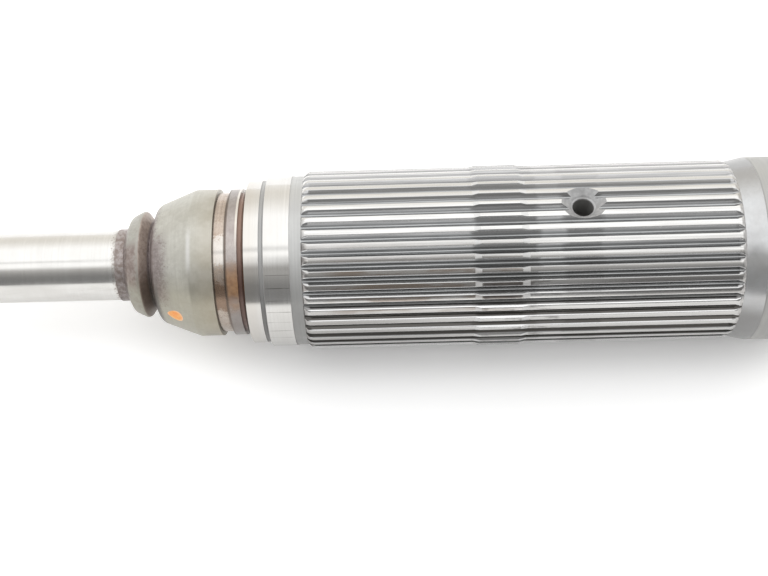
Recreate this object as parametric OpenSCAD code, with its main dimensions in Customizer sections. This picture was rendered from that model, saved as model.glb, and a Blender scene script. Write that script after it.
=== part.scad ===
// Transmission main shaft: one steel bar, turned, ground and splined.
// The axis of the shaft is X. X = 0 is the end face of the pilot journal.
// The oil hole points straight up, along +Z, and is drilled a little off the middle of a tooth space.

/* [Pilot journal] */
// Diameter of the ground journal
journal_d = 18.2; // [16:0.1:20]
// Length of the journal, from its end face to the neck
journal_l = 47; // [30:0.5:60]
// Chamfer at the end face
journal_chamfer = 1.2; // [0.4:0.1:2]
// Mouth of the centre hole in the end face
centre_d = 6; // [4:0.5:9]
// Included angle of the centre hole
centre_angle = 60; // [60:15:90]

/* [Neck] */
// Diameter of the unground band beside the journal
neck_d = 18.6; // [18.3:0.1:20]
// Length of the unground band
neck_l = 2.2; // [1:0.1:4]

/* [Thrust collar] */
// Diameter at the top of the collar's front face
collar_face_d = 24.8; // [22:0.1:26]
// Axial run of the front face
collar_face_l = 1.6; // [0.8:0.1:3]
// Diameter of the crest, before it is rounded
collar_crest_d = 27.8; // [26.5:0.1:29]
// Rounding of the crest
collar_crest_r = 0.8; // [0.3:0.1:1.2]
// Length from the front face to the crest
collar_front_l = 3; // [2:0.1:6]
// Length from the crest down to the valley
collar_back_l = 2.4; // [1.5:0.1:4]
// Diameter at the bottom of the valley behind the collar
valley_d = 20.8; // [19:0.1:24]

/* [Tapered head] */
// Diameter at the small end of the taper
head_nose_d = 30.2; // [28:0.1:33]
// Axial run of the nose face
head_nose_l = 1.5; // [0.8:0.1:3]
// Rounding of the nose
head_nose_r = 2.4; // [0.5:0.1:3]
// Length of the taper
head_taper_l = 9.6; // [6:0.1:14]
// Rounding between the taper and the cylinder
head_shoulder_r = 1.6; // [0.5:0.1:3]
// Diameter of the head's cylinder
head_d = 37.8; // [36:0.1:39]
// Length of the head's cylinder
head_l = 5.8; // [4:0.1:9]

/* [Oil grooves] */
// Width of the wide groove
wide_groove_w = 3.2; // [2:0.1:4.5]
// Depth of the wide groove
wide_groove_depth = 0.9; // [0.5:0.1:1.6]
// Diameter of the rib between the grooves
rib_d = 37.6; // [36.5:0.1:38.5]
// Length of the rib
rib_l = 2.9; // [2:0.1:4.5]
// Width of the narrow groove
narrow_groove_w = 1.1; // [0.8:0.1:2]
// Depth of the narrow groove, below the rib
narrow_groove_depth = 0.9; // [0.5:0.1:1.6]

/* [Ground lands] */
// Diameter at the foot of the step up to the front land
step_d = 38.4; // [37.8:0.1:40]
// Axial run of that step
step_l = 0.8; // [0.4:0.1:1.6]
// Diameter of the front land
front_land_d = 42.1; // [41:0.1:43]
// Length of the front land
front_land_l = 3.6; // [2.5:0.1:6]
// Depth of the grinding relief behind the front land
relief_depth = 0.3; // [0.2:0.05:0.8]
// Width of the floor of that relief
relief_w = 0.8; // [0.5:0.1:1.5]
// Axial run of the lead up to the rear land
rear_lead_l = 0.5; // [0.3:0.1:1.2]
// Diameter of the rear land
rear_land_d = 44.06; // [43.6:0.02:45]
// Length of the rear land
rear_land_l = 6.2; // [4:0.1:10]

/* [Spline] */
// Number of teeth
teeth = 42; // [36:2:46]
// Diameter over the tooth tips
spline_d = 45.5; // [45:0.1:47]
// Length of the teeth, from their rounded ends to the stop
spline_l = 105.8; // [90:0.2:130]
// Radial depth of a tooth space
tooth_depth = 1.15; // [0.9:0.05:1.3]
// Width of the flat tip of a tooth
tooth_tip_w = 1.4; // [1.1:0.05:1.5]
// Pressure angle of the flanks
pressure_angle = 30; // [25:0.5:31]
// Rounding of the front ends of the teeth
tooth_end_r = 2.2; // [1.5:0.1:4]
// Drop from the tooth tips to the turned band in front of them
band_drop = 1.05; // [0.8:0.05:1.4]
// Length of the turned band
band_l = 2.9; // [2:0.1:5]
// Angle at which the root of a space rises to its pointed ends
runout_angle = 21; // [15:0.5:30]
// Distance from the front ends of the teeth to the full depth of a space
front_runout = 0.25; // [0:0.05:1]
// Distance from the full depth of a space to the rear ends of the teeth
rear_runout = 0.9; // [0.2:0.1:3]

/* [Raised band] */
// Distance from the front ends of the teeth to the raised tips
raised_at = 43.3; // [20:0.1:48]
// Length of the raised tips
raised_l = 10.1; // [6:0.1:14]
// Height of the raised tips above the others
raised_h = 0.3; // [0.1:0.05:0.5]
// Axial run of the slope at each side
raised_slope_l = 1.4; // [0.6:0.1:2.5]

/* [Oil hole] */
// Distance from the front ends of the teeth to the hole
oil_hole_at = 68.7; // [64:0.1:80]
// Turn round the axis from the hole to the middle of the tooth space that it is drilled in
oil_hole_turn = 2.8; // [0:0.1:4]
// Diameter of the hole
oil_hole_d = 5.2; // [3:0.1:6]
// Width of the chamfer on the edge of the hole
oil_rim_w = 0.6; // [0.1:0.05:0.8]
// Diameter of its countersink at the tooth tips
countersink_d = 10.9; // [8:0.1:12]
// Included angle of the countersink
countersink_angle = 110; // [90:5:120]
// Diameter of the oil gallery along the axis
gallery_d = 9; // [6.5:0.5:12]

/* [Rear collar] */
// Drop from the tooth tips to the stop
stop_drop = 0.45; // [0.2:0.05:0.8]
// Axial run from the tooth tips down to the stop
stop_l = 1; // [0.6:0.1:2]
// Length of the ramp from the stop up to the collar
ramp_l = 4.9; // [3:0.1:8]
// Diameter of the collar
rear_collar_d = 46.8; // [46:0.1:50]
// Length of the collar
rear_collar_l = 16; // [10:0.5:40]
// Chamfer at the rear end face
rear_chamfer = 1; // [0.5:0.1:2]

/* [Edges] */
// Rounding of the sharp outer corners
edge_r = 0.25; // [0.1:0.05:0.3]
// Rounding of the corners of grooves
fillet_r = 0.35; // [0.1:0.05:0.4]

/* [Hidden] */
$fn = 180;
// Clearance of a drill or a centre past the surface that it opens
over = 1;
// Clearance of the tooth space cutters past the raised tips
space_over = 0.25;
// Straight pieces in each rounded corner
round_steps = 3;
// Straight pieces in each half of the round root of a tooth space
root_steps = 2;
// Included angle of a drill point
drill_angle = 118;

// Stations along the axis, each at the front end of what it names
neck_x = journal_l;
collar_x = neck_x + neck_l;
collar_top_x = collar_x + collar_face_l;
crest_x = collar_top_x + collar_front_l;
valley_x = crest_x + collar_back_l;
nose_x = valley_x + head_nose_l;
head_x = nose_x + head_taper_l;
wide_groove_x = head_x + head_l;
rib_x = wide_groove_x + wide_groove_w;
narrow_groove_x = rib_x + rib_l;
step_x = narrow_groove_x + narrow_groove_w;
front_land_x = step_x + step_l;
relief_x = front_land_x + front_land_l;
rear_lead_x = relief_x + relief_w;
rear_land_x = rear_lead_x + rear_lead_l;
band_x = rear_land_x + rear_land_l;
spline_x = band_x + band_l;
raised_x = spline_x + raised_at;
raised_end_x = raised_x + raised_l;
oil_hole_x = spline_x + oil_hole_at;
teeth_end_x = spline_x + spline_l;
stop_x = teeth_end_x + stop_l;
rear_collar_x = stop_x + ramp_l;
end_x = rear_collar_x + rear_collar_l;

// Radii of the spline
tip_r = spline_d / 2;
band_r = tip_r - band_drop;
raised_r = tip_r + raised_h;
root_r = tip_r - tooth_depth;
// A tooth's rounded front end runs from the band to the tips on one arc
tooth_end_l = sqrt(pow(tooth_end_r, 2) - pow(tooth_end_r - band_drop, 2));
tooth_end_angle = acos((tooth_end_r - band_drop) / tooth_end_r);

// A tooth space has straight flanks, at the pressure angle and half the pitch of a space
flank_angle = pressure_angle + 90 / teeth;
tip_space_w = 2 * PI * tip_r / teeth - tooth_tip_w;
function space_w(r) = tip_space_w + 2 * (r - tip_r) * tan(flank_angle);
// Its root is one round between the flanks
root_round_angle = 90 - flank_angle;
root_round_r = space_w(root_r) / 2 / (cos(flank_angle) - (1 - sin(flank_angle)) * tan(flank_angle));

// Rounds the corner p between the points before and after it, as far as the shorter side allows
function unit(v) = v / norm(v);
function corner(before, p, after, r) =
    let (a = unit(before - p), b = unit(after - p))
    let (half = acos(max(-1, min(1, a * b))) / 2)
    let (reach = min(r / tan(half), norm(before - p) / 2, norm(after - p) / 2))
    let (radius = reach * tan(half), middle = p + unit(a + b) * radius / sin(half))
    let (start = p + a * reach - middle, sweep = 180 - 2 * half)
    let (side = a[0] * b[1] - a[1] * b[0] > 0 ? -1 : 1)
    [for (i = [0:round_steps])
        let (t = side * sweep * i / round_steps)
        middle + [start[0] * cos(t) - start[1] * sin(t), start[0] * sin(t) + start[1] * cos(t)]];

// Each point of an outline is its station, its radius and the rounding of the corner there
function place(p) = [p[0], p[1]];
function rounded(outline) =
    [for (i = [0:len(outline) - 1])
        each outline[i][2] == 0
            ? [place(outline[i])]
            : corner(place(outline[i - 1]), place(outline[i]), place(outline[i + 1]), outline[i][2])];

journal_outline = [
    [0, 0, 0],
    [0, journal_d / 2 - journal_chamfer, 0],
    [journal_chamfer, journal_d / 2, 0],
    [neck_x, journal_d / 2, 0],
    [neck_x, neck_d / 2, edge_r],
    [collar_x, neck_d / 2, fillet_r],
];

collar_and_head_outline = [
    [collar_top_x, collar_face_d / 2, edge_r],
    [crest_x, collar_crest_d / 2, collar_crest_r],
    [valley_x, valley_d / 2, fillet_r],
    [nose_x, head_nose_d / 2, head_nose_r],
    [head_x, head_d / 2, head_shoulder_r],
    [wide_groove_x, head_d / 2, edge_r],
];

groove_outline = [
    [wide_groove_x, rib_d / 2 - wide_groove_depth, fillet_r],
    [rib_x, rib_d / 2 - wide_groove_depth, fillet_r],
    [rib_x, rib_d / 2, fillet_r],
    [narrow_groove_x, rib_d / 2, edge_r],
    [narrow_groove_x, rib_d / 2 - narrow_groove_depth, fillet_r],
    [step_x, rib_d / 2 - narrow_groove_depth, fillet_r],
];

land_outline = [
    [step_x, step_d / 2, edge_r],
    [front_land_x, front_land_d / 2, edge_r],
    [relief_x, front_land_d / 2, edge_r],
    [relief_x, front_land_d / 2 - relief_depth, 0],
    [rear_lead_x, front_land_d / 2 - relief_depth, 0],
    [rear_land_x, rear_land_d / 2, edge_r],
    [band_x, rear_land_d / 2, edge_r],
    [band_x, band_r, 0],
];

tooth_end_outline = [
    for (i = [0:round_steps])
        let (t = tooth_end_angle * (1 - i / round_steps))
        [spline_x + tooth_end_l - tooth_end_r * sin(t), tip_r - tooth_end_r * (1 - cos(t)), 0]
];

tip_outline = [
    [raised_x - raised_slope_l, tip_r, 0],
    [raised_x, raised_r, 0],
    [raised_end_x, raised_r, 0],
    [raised_end_x + raised_slope_l, tip_r, 0],
    [teeth_end_x, tip_r, 0],
];

rear_outline = [
    [stop_x, tip_r - stop_drop, 0],
    [rear_collar_x, rear_collar_d / 2, edge_r],
    [end_x - rear_chamfer, rear_collar_d / 2, 0],
    [end_x, rear_collar_d / 2 - rear_chamfer, 0],
    [end_x, 0, 0],
];

shaft_outline = rounded(concat(
    journal_outline,
    collar_and_head_outline,
    groove_outline,
    land_outline,
    tooth_end_outline,
    tip_outline,
    rear_outline
));

// The modules below are drawn with the shaft's axis along Z, and the finished shaft is then laid along X

module turned_bar()
    rotate_extrude()
        polygon([for (p = shaft_outline) [p[1], p[0]]]);

// Section of a tooth space, with its root on the Y axis and X outwards
module space_section() {
    height = raised_r + space_over - root_r;
    mouth_half = space_w(root_r + height) / 2;
    root = [for (i = [-root_steps:root_steps])
        let (t = root_round_angle * i / root_steps)
        root_round_r * [1 - cos(t), sin(t)]];
    polygon(concat([[height, -mouth_half]], root, [[height, mouth_half]]));
}

// The pointed end of a space, where the root climbs out of the bar
module space_runout()
    rotate([0, runout_angle, 0])
        linear_extrude((raised_r + space_over - root_r) / sin(runout_angle))
            space_section();

module tooth_space() {
    front = spline_x + front_runout;
    rear = teeth_end_x - rear_runout;
    translate([root_r, 0, front]) {
        linear_extrude(rear - front)
            space_section();
        mirror([0, 0, 1])
            space_runout();
    }
    translate([root_r, 0, rear])
        space_runout();
}

module tooth_spaces()
    for (i = [0:teeth - 1])
        rotate(180 + oil_hole_turn + i * 360 / teeth)
            tooth_space();

module centre_hole()
    translate([0, 0, -over])
        cylinder(
            d1 = centre_d + 2 * over * tan(centre_angle / 2),
            d2 = 0,
            h = over + centre_d / 2 / tan(centre_angle / 2)
        );

// The oil hole points along -X here, which is up on the finished shaft
module oil_hole() {
    rim_d = oil_hole_d + 2 * oil_rim_w;
    flare = tan(countersink_angle / 2);
    countersink_depth = (countersink_d - rim_d) / 2 / flare;
    translate([0, 0, oil_hole_x])
        rotate([0, -90, 0]) {
            cylinder(d = oil_hole_d, h = raised_r + over);
            translate([0, 0, tip_r - countersink_depth - oil_rim_w])
                cylinder(d1 = oil_hole_d, d2 = rim_d, h = oil_rim_w);
            translate([0, 0, tip_r - countersink_depth])
                cylinder(d1 = rim_d, d2 = countersink_d + 2 * over * flare, h = countersink_depth + over);
        }
}

// Blind gallery from the rear end face to just past the oil hole, with a drill point
module oil_gallery() {
    blind_x = oil_hole_x - gallery_d / 2;
    point_l = gallery_d / 2 / tan(drill_angle / 2);
    translate([0, 0, blind_x])
        cylinder(d = gallery_d, h = end_x - blind_x + over);
    translate([0, 0, blind_x - point_l])
        cylinder(d1 = 0, d2 = gallery_d, h = point_l);
    translate([0, 0, end_x - rear_chamfer])
        cylinder(d1 = gallery_d, d2 = gallery_d + 2 * (rear_chamfer + over), h = rear_chamfer + over);
}

module main_shaft()
    color("silver")
        rotate([0, 90, 0])
            difference() {
                turned_bar();
                tooth_spaces();
                centre_hole();
                oil_hole();
                oil_gallery();
            }

main_shaft();
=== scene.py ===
"""Transmission main shaft: its turned, ground and splined surfaces, lying on a pale floor."""

import math

import bmesh
import bpy
from mathutils import Matrix, Vector


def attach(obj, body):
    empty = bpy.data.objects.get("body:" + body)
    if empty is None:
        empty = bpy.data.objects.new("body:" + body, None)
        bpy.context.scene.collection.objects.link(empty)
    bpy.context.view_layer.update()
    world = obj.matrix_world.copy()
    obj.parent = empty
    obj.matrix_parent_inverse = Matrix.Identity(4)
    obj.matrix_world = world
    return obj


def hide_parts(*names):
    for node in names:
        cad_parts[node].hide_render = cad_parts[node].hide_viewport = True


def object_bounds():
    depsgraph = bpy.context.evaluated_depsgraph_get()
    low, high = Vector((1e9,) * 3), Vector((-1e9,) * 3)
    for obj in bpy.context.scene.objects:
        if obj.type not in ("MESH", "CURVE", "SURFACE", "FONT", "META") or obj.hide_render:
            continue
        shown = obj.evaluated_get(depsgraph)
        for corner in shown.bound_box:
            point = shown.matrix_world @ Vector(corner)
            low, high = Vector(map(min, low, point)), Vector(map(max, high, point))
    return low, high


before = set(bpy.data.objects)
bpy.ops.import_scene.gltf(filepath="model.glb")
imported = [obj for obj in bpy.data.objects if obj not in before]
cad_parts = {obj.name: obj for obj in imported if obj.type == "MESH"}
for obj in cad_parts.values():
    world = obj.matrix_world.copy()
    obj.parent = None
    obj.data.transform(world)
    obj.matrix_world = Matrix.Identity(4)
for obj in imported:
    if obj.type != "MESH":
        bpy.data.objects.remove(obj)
cad_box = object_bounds()

# Sizes are in millimetres until they reach a mesh, which is in metres
MM = 0.001

# The turning sheet, from the pilot journal's end face to the rear end face:
# name, length, radius at its front, radius at its rear, finish
TURNING_SHEET = (
    ("journal_chamfer", 1.2, 7.9, 9.1, "journal_steel"),
    ("journal", 45.8, 9.1, 9.1, "journal_steel"),
    ("neck", 2.2, 9.3, 9.3, "neck_rust"),
    ("collar_face", 1.6, 9.3, 12.4, "head_steel"),
    ("collar_front", 3.0, 12.4, 13.9, "head_steel"),
    ("collar_back", 2.4, 13.9, 10.4, "head_steel"),
    ("nose", 1.5, 10.4, 15.1, "head_steel"),
    ("taper", 9.6, 15.1, 18.9, "head_steel"),
    ("head", 5.8, 18.9, 18.9, "head_steel"),
    ("wide_groove", 3.2, 17.9, 17.9, "groove_steel"),
    ("rib", 2.9, 18.8, 18.8, "rib_steel"),
    ("narrow_groove", 1.1, 17.9, 17.9, "groove_rust"),
    ("step", 0.8, 19.2, 21.05, "land_steel"),
    ("front_land", 3.6, 21.05, 21.05, "land_steel"),
    ("relief", 0.8, 20.75, 20.75, "band_steel"),
    ("rear_lead", 0.5, 20.75, 22.03, "band_steel"),
    ("rear_land", 6.2, 22.03, 22.03, "land_steel"),
    ("band", 2.9, 21.7, 21.7, "band_steel"),
    ("tooth_ends", 1.88, 21.7, 22.75, "tooth_steel"),
    ("front_teeth", 40.02, 22.75, 22.75, "tooth_steel"),
    ("raised_front", 1.4, 22.75, 23.05, "tooth_steel"),
    ("raised", 10.1, 23.05, 23.05, "tooth_steel"),
    ("raised_rear", 1.4, 23.05, 22.75, "tooth_steel"),
    ("rear_teeth", 51.0, 22.75, 22.75, "tooth_steel"),
    ("stop", 1.0, 22.75, 22.3, "tooth_steel"),
    ("ramp", 4.9, 22.3, 23.4, "ramp_steel"),
    ("rear_collar", 15.0, 23.4, 23.4, "collar_steel"),
    ("rear_chamfer", 1.0, 23.4, 22.4, "collar_steel"),
)
RADII = {name: (front, rear) for name, _, front, rear, _ in TURNING_SHEET}

# Where each section of the sheet starts and ends along the axis
SPAN = {}
SHAFT_END = 0.0
for section_name, section_length, *_ in TURNING_SHEET:
    SPAN[section_name] = (SHAFT_END, SHAFT_END + section_length)
    SHAFT_END += section_length
SPLINE_START = SPAN["tooth_ends"][0]
TEETH_END = SPAN["rear_teeth"][1]

# How far the rounding of a turned corner reaches, and its steps.
# A corner is named for the section behind it.
EDGE_REACH = 0.22
EDGE_STEPS = 2
CORNERS = {
    "collar_front": (0.45, 3),
    "collar_back": (0.7, 4),
    "nose": (0.5, 3),
    "taper": (1.14, 5),
    "head": (0.35, 3),
    "stop": (0.0, 0),
    "ramp": (0.0, 0),
}

# The centre hole in front, the gallery bored from behind and the oil hole that meets it
CENTRE_R = 3.0
CENTRE_DEPTH = 5.2
GALLERY_R = 4.5
GALLERY_MOUTH = 1.0
DRILL_POINT = 2.7
OIL_HOLE_X = 163.8
OIL_HOLE_R = 2.6
OIL_RIM_W = 0.6
COUNTERSINK_R = 5.45
COUNTERSINK_FLARE = math.tan(math.radians(55.0))
DRILL_COLUMNS = 64
DRILL_CLEAR = 3.0

# The spline. The oil hole is on top of the bar, and its tooth space is turned a little to the front.
TEETH = 42
PITCH = 2 * math.pi / TEETH
SPACE_TURN = 2.8
TIP_R = RADII["front_teeth"][0]
ROOT_R = 21.6
ROOT_ROUND = 0.505
ROOT_STEPS = 3
TOOTH_COLUMNS = 2 * (ROOT_STEPS + 3)
TIP_EDGE = 0.09
FLANK_ANGLE = math.radians(32.14)
TOOTH_END_R = 2.2
TOOTH_END_STEPS = 5
RUNOUT_SLOPE = math.tan(math.radians(21.0))
SHALLOWEST = 0.02
CUT_MARGIN = 1.0
FRONT_FULL_DEPTH = SPLINE_START + 0.25
REAR_FULL_DEPTH = TEETH_END - 0.9
FRONT_CUTS = (0.1,)
REAR_CUTS = (-0.9, -0.45, 0.25, 0.5, 0.7, 0.85, 0.95)

# The dab of paint on the head's taper
DAB_X = SPAN["taper"][0] + 4.6
DAB_TURN = 82.3
DAB_HALF_L = 2.0
DAB_HALF_W = 2.55
DAB_TIP = 0.45
DAB_THICKNESS = 0.06
DAB_HALF_TURN = 7.0
DAB_SUBDIVISIONS = 4

# The camera of the photograph, which looks down on the shaft from its front side
CAMERA_X = 118.81
CAMERA_DISTANCE = 300.25
CAMERA_ELEVATION = math.radians(57.7)
CAMERA_YAW = math.radians(-0.797)
CAMERA_PITCH = math.radians(-1.479)
CAMERA_ROLL = math.radians(-1.540)
CAMERA_LENS = 54.34
CAMERA_SENSOR = 36.0
CAMERA_CLIP = 10.0

# Points closer than this are one, and edges flatter than this angle are smooth
MERGE = 0.001
SHARP_ANGLE = math.radians(38.0)


# Shapes

def tooth_end_points():
    """The rounded front ends of the teeth, from the band up to the tips, as (x, r)."""
    drop = TIP_R - RADII["tooth_ends"][0]
    sweep = math.acos((TOOTH_END_R - drop) / TOOTH_END_R)
    run = TOOTH_END_R * math.sin(sweep)
    points = []
    for i in range(TOOTH_END_STEPS):
        angle = sweep * (1 - i / TOOTH_END_STEPS)
        x = SPLINE_START + run - TOOTH_END_R * math.sin(angle)
        points.append((x, TIP_R - TOOTH_END_R * (1 - math.cos(angle))))
    points.append((SPAN["tooth_ends"][1], TIP_R))
    return points


def chain(bm, points):
    """A wire through (x, r) points in the plane above the axis."""
    verts = [bm.verts.new((x, 0.0, r)) for x, r in points]
    for pair in zip(verts, verts[1:]):
        bm.edges.new(pair)
    return verts


def round_corners(bm, verts, reach, steps):
    """Rounds corners of the wire."""
    bmesh.ops.bevel(
        bm, geom=verts, offset=reach, offset_type="OFFSET", affect="VERTICES",
        segments=steps, profile=0.5, material=-1, clamp_overlap=True,
    )


def cut_rings(bm, stations):
    """Adds points to the outer wire at these stations along the axis."""
    inner_r = GALLERY_R + GALLERY_MOUTH + EDGE_REACH
    for x in stations:
        outer = [e for e in bm.edges if min(v.co.z for v in e.verts) > inner_r]
        ends = {v for e in outer for v in e.verts}
        bmesh.ops.bisect_plane(
            bm, geom=outer + list(ends), dist=MERGE, plane_co=(x, 0.0, 0.0), plane_no=(1.0, 0.0, 0.0),
        )


def bar_wire(bm):
    """The outline of the bar from its centre hole to its gallery, with its corners rounded."""
    plain = (0.0, 0)
    edge = (EDGE_REACH, EDGE_STEPS)
    points = [(CENTRE_DEPTH, 0.0), (0.0, CENTRE_R)]
    rounding = [plain, edge]
    for name, _, front, rear, _ in TURNING_SHEET:
        start, end = SPAN[name]
        if name == "tooth_ends":
            ends = tooth_end_points()
            points.extend(ends)
            rounding.extend([plain] * len(ends))
            continue
        if math.dist(points[-1], (start, front)) > MERGE:
            points.append((start, front))
            rounding.append(edge)
        if name in CORNERS:
            rounding[-1] = CORNERS[name]
        points.append((end, rear))
        rounding.append(edge)
    hole_front = OIL_HOLE_X - GALLERY_R
    points.append((SHAFT_END, GALLERY_R + GALLERY_MOUTH))
    points.append((SHAFT_END - GALLERY_MOUTH, GALLERY_R))
    points.append((hole_front, GALLERY_R))
    points.append((hole_front - DRILL_POINT, 0.0))
    rounding.extend([edge, edge, plain, plain])
    verts = chain(bm, points)
    for reach, steps in sorted(set(rounding) - {plain}):
        round_corners(bm, [v for v, r in zip(verts, rounding) if r == (reach, steps)], reach, steps)
    cut_rings(bm, [SPLINE_START + x for x in FRONT_CUTS] + [TEETH_END + x for x in REAR_CUTS])


def spin_about(bm, axis, columns):
    """Turns a wire into a closed solid about an axis through the origin."""
    bmesh.ops.spin(
        bm, geom=bm.verts[:] + bm.edges[:], cent=(0.0, 0.0, 0.0), axis=axis,
        angle=2 * math.pi, steps=columns, use_merge=True,
    )
    bmesh.ops.remove_doubles(bm, verts=bm.verts, dist=MERGE)
    bmesh.ops.recalc_face_normals(bm, faces=bm.faces)


def space_floor(x):
    """Radius of the floor of a tooth space, which climbs out of the bar at both ends of the teeth."""
    return ROOT_R + RUNOUT_SLOPE * max(0.0, FRONT_FULL_DEPTH - x, x - REAR_FULL_DEPTH)


def tooth_section(radius, floor, pointed):
    """Half a tooth space and half a tooth where the bar has this radius, as (distance round, radius)."""
    depth = radius - floor
    edge = min(TIP_EDGE, depth / 4)
    root = ROOT_ROUND * min(1.0, depth / (TIP_R - ROOT_R)) if pointed else ROOT_ROUND
    full_round = math.pi / 2 - FLANK_ANGLE
    sweep = min(full_round, math.acos(max(0.0, 1 - depth / 2 / root)))
    points = []
    for i in range(ROOT_STEPS + 1):
        angle = sweep * i / ROOT_STEPS
        points.append((root * math.sin(angle), floor + root * (1 - math.cos(angle))))
    foot, foot_radius = points[-1]
    mouth = foot + (radius - edge - foot_radius) * math.tan(FLANK_ANGLE)
    points.append((mouth, radius - edge))
    points.append((mouth + 2 * edge, radius))
    points.append((PITCH * radius / 2, radius))
    return points


def cut_teeth(bm):
    """Moves the bar's columns to the tooth spaces, then turns the bar from the oil hole."""
    sunk = bm.verts.layers.float.new("sunk")
    half = TOOTH_COLUMNS // 2
    for vert in bm.verts:
        x, y, z = vert.co
        radius = math.hypot(y, z)
        floor = space_floor(x)
        if x < SPLINE_START - CUT_MARGIN or radius < ROOT_R - CUT_MARGIN or radius - floor < SHALLOWEST:
            continue
        column = round(math.atan2(-y, z) / PITCH * TOOTH_COLUMNS)
        tooth, step = divmod(column, TOOTH_COLUMNS)
        mirrored = step > half
        section = tooth_section(radius, floor, x > REAR_FULL_DEPTH)
        around, new_radius = section[TOOTH_COLUMNS - step if mirrored else step]
        turn = around / new_radius
        angle = tooth * PITCH + (PITCH - turn if mirrored else turn)
        vert.co = (x, -new_radius * math.sin(angle), new_radius * math.cos(angle))
        vert[sunk] = radius - new_radius
    turned = Matrix.Rotation(math.radians(SPACE_TURN), 3, "X")
    bmesh.ops.rotate(bm, cent=(0.0, 0.0, 0.0), matrix=turned, verts=bm.verts)
    return sunk


def finish_at(x):
    """The finish of the turned section at a station along the axis."""
    for name, _, _, _, finish in TURNING_SHEET:
        if x <= SPAN[name][1]:
            return finish
    return TURNING_SHEET[-1][4]


def choose_finishes(bm, sunk, order):
    """Gives each face the finish of its section, its tooth flank or its bore."""
    for face in bm.faces:
        middle = face.calc_center_median()
        radius = math.hypot(middle.y, middle.z)
        finish = finish_at(middle.x)
        if radius < GALLERY_R + GALLERY_MOUTH and middle.x > SHAFT_END / 2 or radius < CENTRE_R:
            finish = "bore_steel"
        elif max(v[sunk] for v in face.verts) > SHALLOWEST:
            finish = "flank_steel"
        face.material_index = order.index(finish)
        face.smooth = True


def mark_sharp_edges(bm):
    """Edges that stay crisp between smooth faces."""
    for edge in bm.edges:
        edge.smooth = edge.is_manifold and edge.calc_face_angle() < SHARP_ANGLE


def to_object(bm, name, materials):
    """A mesh object from a bmesh in millimetres."""
    bmesh.ops.scale(bm, vec=(MM, MM, MM), verts=bm.verts)
    mesh = bpy.data.meshes.new(name)
    bm.to_mesh(mesh)
    bm.free()
    for material in materials:
        mesh.materials.append(material)
    obj = bpy.data.objects.new(name, mesh)
    bpy.context.scene.collection.objects.link(obj)
    return obj


def oil_drill(material):
    """A drill with its countersink, standing where the oil hole goes."""
    bm = bmesh.new()
    top = TIP_R + DRILL_CLEAR
    rim_r = OIL_HOLE_R + OIL_RIM_W
    rim_z = TIP_R - (COUNTERSINK_R - rim_r) / COUNTERSINK_FLARE
    chain(bm, (
        (0.0, 0.0),
        (OIL_HOLE_R, 0.0),
        (OIL_HOLE_R, rim_z - OIL_RIM_W),
        (rim_r, rim_z),
        (COUNTERSINK_R + DRILL_CLEAR * COUNTERSINK_FLARE, top),
        (0.0, top),
    ))
    spin_about(bm, (0.0, 0.0, 1.0), DRILL_COLUMNS)
    bmesh.ops.translate(bm, vec=(OIL_HOLE_X, 0.0, 0.0), verts=bm.verts)
    return to_object(bm, "oil_drill", [material])


def bore_oil_hole(shaft, material):
    """Cuts the oil hole into the shaft's mesh."""
    drill = oil_drill(material)
    cut = shaft.modifiers.new("oil_hole", "BOOLEAN")
    cut.operation = "DIFFERENCE"
    cut.solver = "EXACT"
    cut.material_mode = "TRANSFER"
    cut.object = drill
    view = bpy.context.evaluated_depsgraph_get()
    bored = bpy.data.meshes.new_from_object(shaft.evaluated_get(view))
    plain = shaft.data
    shaft.modifiers.remove(cut)
    shaft.data = bored
    bpy.data.meshes.remove(plain)
    bpy.data.meshes.remove(drill.data)


def main_shaft(finishes):
    """The whole shaft as one closed mesh."""
    order = list(finishes)
    bm = bmesh.new()
    bar_wire(bm)
    spin_about(bm, (1.0, 0.0, 0.0), TEETH * TOOTH_COLUMNS)
    sunk = cut_teeth(bm)
    choose_finishes(bm, sunk, order)
    shaft = to_object(bm, "shaft", finishes.values())
    bore_oil_hole(shaft, finishes["bore_steel"])
    bm = bmesh.new()
    bm.from_mesh(shaft.data)
    mark_sharp_edges(bm)
    bm.to_mesh(shaft.data)
    bm.free()
    shaft.data.name = "shaft"
    crisp = shaft.modifiers.new("crisp_flats", "WEIGHTED_NORMAL")
    crisp.mode = "FACE_AREA"
    crisp.keep_sharp = True
    return shaft


def taper_radius(x):
    """Radius of the head's taper at a station along the axis."""
    start, end = SPAN["taper"]
    front, rear = RADII["taper"]
    return front + (rear - front) * (x - start) / (end - start)


def paint_dab():
    """A flat drop of paint laid on the taper, with its tip towards the journal."""
    bm = bmesh.new()
    bmesh.ops.create_icosphere(bm, subdivisions=DAB_SUBDIVISIONS, radius=1.0)
    for vert in bm.verts:
        along, around, height = vert.co
        swell = (1 + along) / 2
        around = around * (DAB_TIP + (1 - DAB_TIP) * swell)
        x = DAB_X + along * DAB_HALF_L
        angle = math.radians(DAB_TURN) + around * DAB_HALF_W / taper_radius(x)
        radius = taper_radius(x) + height * DAB_THICKNESS
        vert.co = (x, -radius * math.sin(angle), radius * math.cos(angle))
    bmesh.ops.recalc_face_normals(bm, faces=bm.faces)
    for face in bm.faces:
        face.smooth = True
    return to_object(bm, "paint_dab", [orange_paint()])


# Finishes

def add(tree, kind, inputs=None, **settings):
    """A shader node with its settings, and its inputs set or linked."""
    node = tree.nodes.new("ShaderNode" + kind)
    for name, value in settings.items():
        setattr(node, name, value)
    for key, value in (inputs or {}).items():
        if isinstance(value, bpy.types.NodeSocket):
            tree.links.new(value, node.inputs[key])
        else:
            node.inputs[key].default_value = value
    return node


def feed(tree, socket, value):
    """Links a value to a socket."""
    tree.links.new(value, socket)


def sums(tree, operation, a, b=0.0):
    """One sum of two values."""
    return add(tree, "Math", {0: a, 1: b}, operation=operation).outputs[0]


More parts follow.
